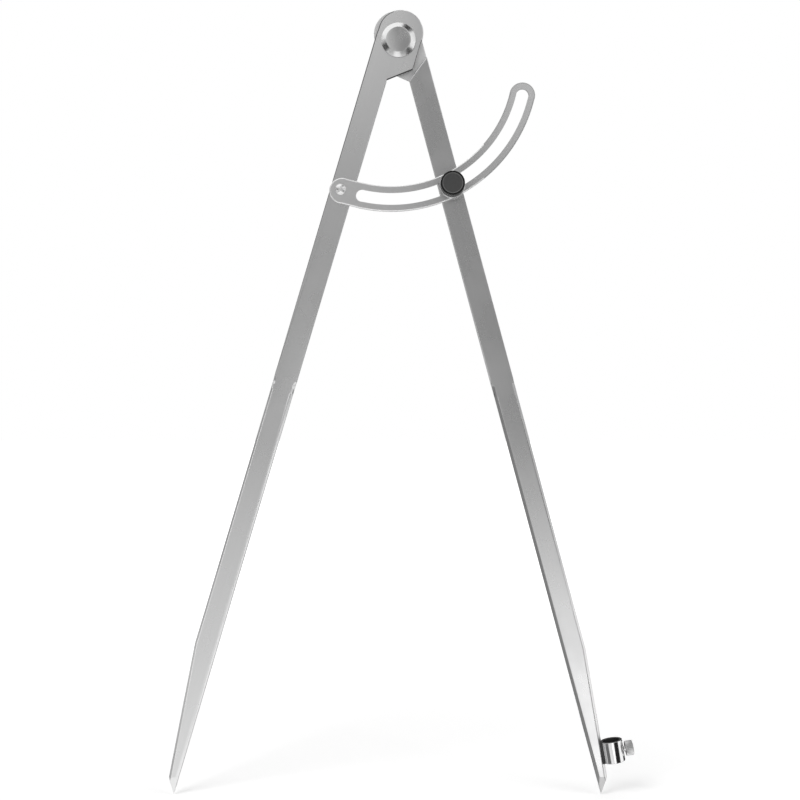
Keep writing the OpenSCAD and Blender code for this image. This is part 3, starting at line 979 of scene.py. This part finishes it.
def makeScrewShank(s):
    place = (ringCentre, ringOut, ringUp)
    corners = [
        (0, s["tip"]), (s["shank"] - s["chamfer"], s["tip"]), (s["shank"], s["tip"] + s["chamfer"]),
        (s["shank"], s["end"]), (0, s["end"]),
    ]
    shank = turnedPiece("screwShank", corners, place, s["ease"], steps=48)
    cutThread(shank, place, s["thread"])
    smoothByAngle(shank)
    steel = metal("screwSteel", {**polished, "rough": (0.2, 0.3), "lean": -ringLean, "rings": 5000.0})
    dress(shank, steel, "screw_shank", "screw_shank")


makeScrewShank(thumbScrew)

screwHead = {
    "diameter": 7.5, "height": 3.75, "grooves": 30, "rim": 0.55, "foot": 0.3, "land": 0.07, "groove": 0.24,
    "bore": 3.1, "boreDepth": 2.6, "lift": 6.5, "ease": 0.06,
    "top": [(0.5, 0.06), (0.9, 0.08), (0.9, 0.03)],  # slightly crowned end
}


def makeScrewHead(h):
    head = groovedGrip("screwHead", h)
    shapeTop(head, h["top"])
    setInPlace(head, (ringCentre, ringOut, ringUp), h["lift"])
    easeEdges(head, h["ease"], segments=1, sharper=35)
    smoothByAngle(head, 40)
    nickel = metal("screwNickel", toned(
        legFinish, 0.95, 0.40, 0.72, rough=(0.26, 0.38), metallic=0.8, lean=-ringLean,
        lines=1100.0, stretch=1.0, edge=0.2, patchy=0.1))
    dress(head, nickel, "screw_head", "screw_head")


makeScrewHead(screwHead)
print("pencil ring and thumb screw made")


# studio: white backdrop and floor, soft lamps, and cards that only the metal sees

studio = {
    "worldFill": 0.55, "floorSize": 12.0, "floorDrop": 0.2, "floorTone": 0.90,
    "nearGlow": 0.26, "farGlow": 0.80, "glowSpan": (0.1, 0.9),  # the floor glows more further out
    "keyPlace": (-0.9, -1.3, 1.2), "keyPower": 16.0, "fillPlace": (1.3, -0.9, 0.7), "fillPower": 7.0,
    "lampSize": 1.0, "lampAim": (0, 0, -0.2),
}


def seenWhite(tree):
    # 1 for the rays that show the backdrop: camera, glossy and transmission
    path = addNode(tree, "LightPath").outputs
    some = mathNode(tree, "MAXIMUM", path["Is Camera Ray"], path["Is Glossy Ray"])
    return mathNode(tree, "MAXIMUM", some, path["Is Transmission Ray"])


def makeWorld(s):
    world = bpy.data.worlds.new("studioWorld")
    scene.world = world
    world.use_nodes = True
    tree = world.node_tree
    tree.nodes.clear()
    white = addNode(tree, "Background", Color=(1, 1, 1, 1), Strength=1.0)
    fill = addNode(tree, "Background", Color=(1, 1, 1, 1), Strength=s["worldFill"])
    mix = addNode(tree, "MixShader", i0=seenWhite(tree), i1=fill.outputs[0], i2=white.outputs[0])
    tree.links.new(mix.outputs[0], addNode(tree, "OutputWorld").inputs[0])


def makeFloor(s):
    deselectAll()
    bpy.ops.mesh.primitive_plane_add(size=s["floorSize"], location=(0, 0, cadLow.z - s["floorDrop"] * mm))
    floor = bpy.context.object
    floor.name = "studioFloor"
    material, tree = stageMaterial("floorWhite")
    matt = addNode(tree, "BsdfDiffuse", Color=(*grey(s["floorTone"]), 1))
    where = addNode(tree, "TexCoord").outputs["Object"]
    away = addNode(tree, "VectorMath", {"operation": "LENGTH"}, i0=where)
    near, far = s["glowSpan"]
    lift = addNode(tree, "MapRange", {"interpolation_type": "SMOOTHSTEP"}, Value=away.outputs["Value"],
                   i1=near, i2=far, i3=s["nearGlow"], i4=s["farGlow"])
    glow = addNode(tree, "Emission", Color=(1, 1, 1, 1),
                   Strength=mathNode(tree, "MULTIPLY", seenWhite(tree), lift.outputs[0]))
    both = addNode(tree, "AddShader", i0=matt.outputs[0], i1=glow.outputs[0])
    tree.links.new(both.outputs[0], addNode(tree, "OutputMaterial").inputs[0])
    floor.data.materials.append(material)
    floor.visible_glossy = False


def makeLamp(name, place, power, s):
    bpy.ops.object.light_add(type="AREA", location=place)
    lamp = bpy.context.object
    lamp.name = name
    lamp.data.energy = power
    lamp.data.size = s["lampSize"]
    lamp.visible_glossy = False  # the metal mirrors the room and the cards, not the lamp
    lamp.rotation_euler = (Vector(s["lampAim"]) - Vector(place)).to_track_quat("-Z", "Y").to_euler()


def cardMaterial(name, tone, solid):
    # its own tone out to the solid part, fading to the white of the room at the rim
    material, tree = stageMaterial(name)
    middle = addNode(tree, "VectorMath", {"operation": "SUBTRACT"},
                     i0=addNode(tree, "TexCoord").outputs["UV"], i1=(0.5, 0.5, 0.0))
    sides = addNode(tree, "VectorMath", {"operation": "ABSOLUTE"}, i0=middle.outputs[0])
    axes = addNode(tree, "SeparateXYZ", Vector=sides.outputs[0]).outputs
    fade = addNode(tree, "MapRange", {"interpolation_type": "SMOOTHSTEP"},
                   Value=mathNode(tree, "MAXIMUM", axes["X"], axes["Y"]), i1=solid, i2=0.5).outputs[0]
    glow = addNode(tree, "Emission", Color=mixColour(tree, fade, grey(tone), grey(1.0)), Strength=1.0)
    tree.links.new(glow.outputs[0], addNode(tree, "OutputMaterial").inputs[0])
    return material


def makeCard(name, place, size, material, aim):
    # a sheet that shows only in reflections
    deselectAll()
    bpy.ops.mesh.primitive_plane_add(size=1)
    card = bpy.context.object
    card.name = name
    turn = (Vector(aim) - Vector(place)).to_track_quat("Z", "Y").to_matrix().to_4x4()
    card.matrix_world = Matrix.Translation(place) @ turn @ Matrix.Diagonal((*size, 1, 1))
    bpy.ops.object.transform_apply(location=True, rotation=True, scale=True)
    card.data.materials.append(material)
    card.visible_camera = card.visible_diffuse = card.visible_shadow = False
    card.visible_transmission = False


def gradedMaterial(name, graded):
    # grey above and pale below, with a band of other tones where the right leg is mirrored
    material, tree = stageMaterial(name)
    where = addNode(tree, "SeparateXYZ", Vector=addNode(tree, "TexCoord").outputs["Object"]).outputs
    low, high = graded["span"]
    height = addNode(tree, "MapRange", Value=where["Z"], i1=low, i2=high).outputs[0]
    tones = []
    for side in ("left", "right"):
        ramp = addNode(tree, "ValToRGB", Fac=height)
        stops = ramp.color_ramp.elements
        while len(stops) < len(graded[side]):
            stops.new(0.5)
        for stop, (at, tone) in zip(stops, graded[side]):
            stop.position = (at - low) / (high - low)
            stop.color = (*grey(tone), 1)
        tones.append(ramp.outputs[0])
    # distance to the right of the line along which the right leg is mirrored
    slope, start = graded["line"]
    aside = mathNode(tree, "MULTIPLY_ADD", where["Z"], slope)
    tree.links.new(where["X"], aside.node.inputs[2])
    aside = mathNode(tree, "SUBTRACT", aside, start)
    masks = []
    for near, far in (graded["leftRim"], graded["rightRim"]):
        masks.append(addNode(tree, "MapRange", {"interpolation_type": "SMOOTHSTEP"},
                             Value=aside, i1=far, i2=near).outputs[0])
    band = mathNode(tree, "MULTIPLY", *masks)
    glow = addNode(tree, "Emission", Color=mixColour(tree, band, *tones), Strength=graded["strength"])
    tree.links.new(glow.outputs[0], addNode(tree, "OutputMaterial").inputs[0])
    return material


nearCard = {
    "place": (-0.0575, -0.13, -0.15), "aim": (-0.0575, 0.0, -0.15), "size": (0.405, 0.62),
    "span": (-0.46, 0.16), "strength": 1.4,
    "line": (0.27, 0.0145), "leftRim": (-0.008, -0.02), "rightRim": (0.014, 0.032),
    # stops of the tones that each leg mirrors: height in metres, tone
    "left": [(-0.45, 0.64), (-0.40, 0.557), (-0.381, 0.55), (-0.358, 0.518), (-0.33, 0.484), (-0.307, 0.456),
             (-0.279, 0.43), (-0.25, 0.39), (-0.222, 0.353), (-0.194, 0.289), (-0.16, 0.267), (-0.11, 0.258),
             (-0.04, 0.286), (0.0, 0.345), (0.03, 0.39), (0.06, 0.43)],
    "right": [(-0.45, 1.0), (-0.42, 1.0), (-0.381, 1.0), (-0.358, 0.90), (-0.33, 0.81), (-0.307, 0.638),
              (-0.279, 0.478), (-0.25, 0.377), (-0.222, 0.25), (-0.194, 0.185), (-0.16, 0.162),
              (-0.11, 0.174), (-0.04, 0.16), (0.0, 0.148), (0.05, 0.135)],
}
arcCard = {
    "place": (0.18, -0.13, -0.01), "aim": (0.18, 0, -0.01), "size": (0.07, 0.12), "tone": 0.27, "solid": 0.48,
}
lowCard = {
    "place": (-0.0225, -0.11, -0.171), "aim": (0, 0, 0), "size": (0.095, 0.09), "tone": 1.0, "solid": 0.48,
}
backCard = {
    "place": (0, 0.5, -0.3), "aim": (0, 0, -0.3), "size": (2.6, 1.6), "tone": 0.38, "solid": 0.3,
}


def makePaperCard(name, place, aim, size, tone, solid):
    makeCard(name, place, size, cardMaterial(name + "Paper", tone, solid), aim)


makeWorld(studio)
makeFloor(studio)
makeLamp("keyLamp", studio["keyPlace"], studio["keyPower"], studio)
makeLamp("fillLamp", studio["fillPlace"], studio["fillPower"], studio)
nearMaterial = gradedMaterial("gradedPaper", nearCard)
makeCard("nearCard", nearCard["place"], nearCard["size"], nearMaterial, nearCard["aim"])
makePaperCard("arcCard", **arcCard)
makePaperCard("lowCard", **lowCard)


def clockWay(off, clock):
    # so many degrees off the front, towards a clock angle seen from the front
    off, clock = math.radians(off), math.radians(clock)
    return Vector((math.sin(off) * math.sin(clock), -math.cos(off), math.sin(off) * math.cos(clock)))


ringDip = 0.27  # how far down the flags round the ring hang, as the camera looks down on it


def ringWay(azimuth):
    # round the pencil ring from the front, and down
    turn = math.radians(azimuth)
    return (ringOut * math.sin(turn) + front * math.cos(turn) - ringUp * ringDip).normalized()


headSpot, midSpot = Vector((0, 0, 0)), Vector((0, 0, -0.19))
# spot aimed at, way from there, distance, width, height, tone, solid part
flags = {
    "coneOneOClock": (headSpot, clockWay(87, 30), 1.2, 1.5, 0.9, 0.03, 0.26),
    "coneFiveOClock": (headSpot, clockWay(65, 130), 0.32, 0.31, 0.25, 0.03, 0.24),
    "coneEightOClock": (headSpot, clockWay(64.5, 253), 0.19, 0.165, 0.145, 0.03, 0.28),
    "coneNineOClock": (headSpot, clockWay(68, 274), 0.2, 0.11, 0.11, 0.34, 0.12),
    "leftHigh": (midSpot, clockWay(99, 287), 1.2, 0.9, 1.0, 0.26, 0.34),
    "leftLow": (midSpot, clockWay(94, 245), 1.2, 1.2, 1.0, 0.40, 0.36),
    "rightHigh": (midSpot, clockWay(99, 68), 1.2, 0.9, 1.1, 0.36, 0.25),
    "ringFrontRight": (ringCentre, ringWay(40), 0.30, 0.30, 0.3, 0.02, 0.34),
    "ringFrontLeft": (ringCentre, ringWay(-57), 0.11, 0.085, 0.07, 0.14, 0.34),
    "ringBackRight": (ringCentre, ringWay(145), 0.10, 0.17, 0.06, 0.03, 0.34),
    "ringBackLeft": (ringCentre, ringWay(-146), 0.10, 0.16, 0.06, 0.01, 0.34),
}


def hangFlags():
    for name, (spot, way, distance, width, height, tone, solid) in flags.items():
        makePaperCard(name, spot + way * distance, spot, (width, height), tone, solid)


hangFlags()
makePaperCard("backCard", **backCard)
print("studio made")


photoView = {"lens": 63.0, "sensor": 36.0, "distance": 0.7, "aim": (0.00075, -0.0025, -0.18003)}


def makeCamera(v):
    bpy.ops.object.camera_add(location=Vector(v["aim"]) + front * v["distance"])
    camera = bpy.context.object
    camera.name = "photoCamera"
    camera.rotation_euler = (math.radians(90), 0, 0)
    camera.data.lens = v["lens"]
    camera.data.sensor_width = v["sensor"]
    scene.camera = camera


makeCamera(photoView)
scene.view_settings.view_transform = "Standard"
